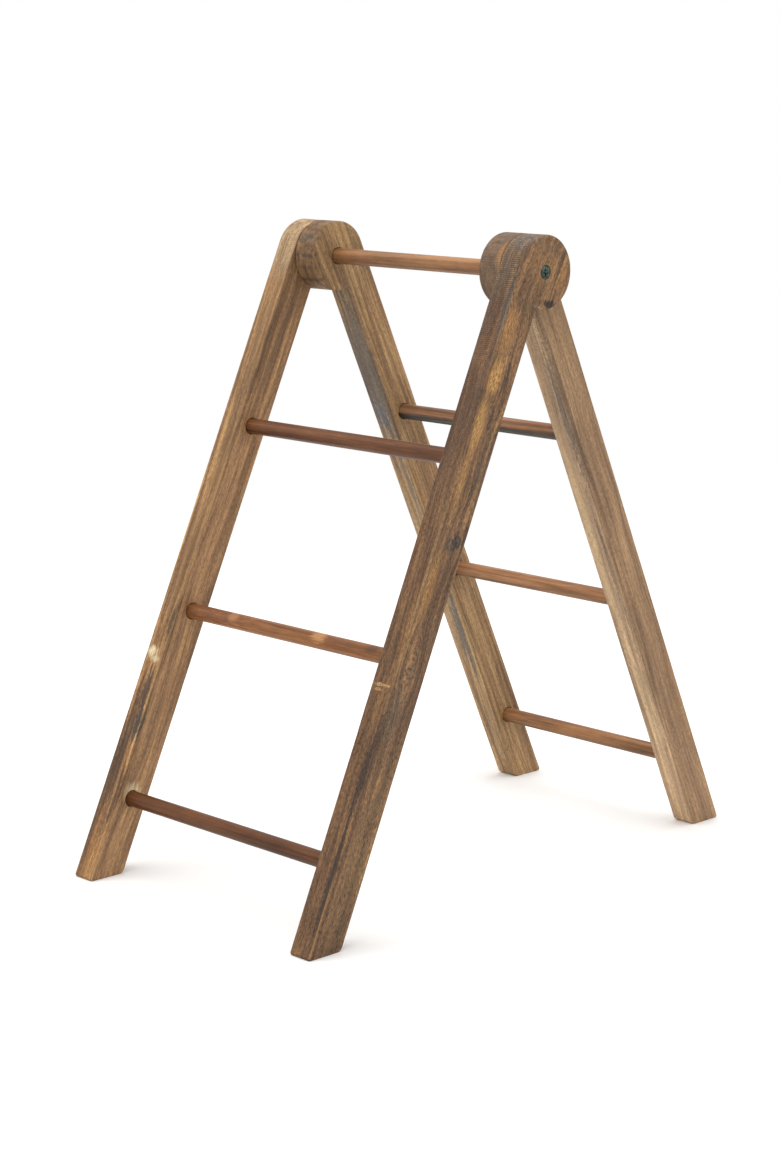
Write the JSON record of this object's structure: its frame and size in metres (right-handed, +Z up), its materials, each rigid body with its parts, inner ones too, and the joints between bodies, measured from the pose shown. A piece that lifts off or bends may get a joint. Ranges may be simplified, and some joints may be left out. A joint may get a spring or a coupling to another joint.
{
  "type": "ladder shelf",
  "caption": "Folding A-frame ladder shelf in stained wood: a rear ladder with dowel rungs nests inside the front ladder and pivots on screws through round rail heads.",
  "frame": {"origin": "on the floor, midway between the four feet", "axes": "+X along the rungs towards the right-hand rails, +Y from the front ladder to the rear ladder, +Z up"},
  "size_m": [0.2626, 0.4668, 0.4806],
  "materials": {
    "rails": "walnut-stained, sawn and lightly sanded, matt to satin",
    "rungs": "red-brown stained dowel, satin",
    "pivot_screws": "blackened steel, satin"
  },
  "bodies": {
    "front_ladder": {"front_rail_left": "rails", "front_rail_right": "rails", "front_rung_1": "rungs", "front_rung_2": "rungs", "front_rung_3": "rungs"},
    "rear_ladder": {"rear_rail_left": "rails", "rear_rail_right": "rails", "rear_rung_1": "rungs", "rear_rung_2": "rungs", "rear_rung_3": "rungs", "top_rung": "rungs", "pivot_screw_left": "pivot_screws", "pivot_screw_right": "pivot_screws"}
  },
  "joints": [
    {"name": "ladder_hinge", "type": "hinge", "parent": "front_ladder", "child": "rear_ladder", "pos_m": [0, 0, 0.454], "axis": [1, 0, 0], "range_deg": [-48.7, 131.3]}
  ]
}
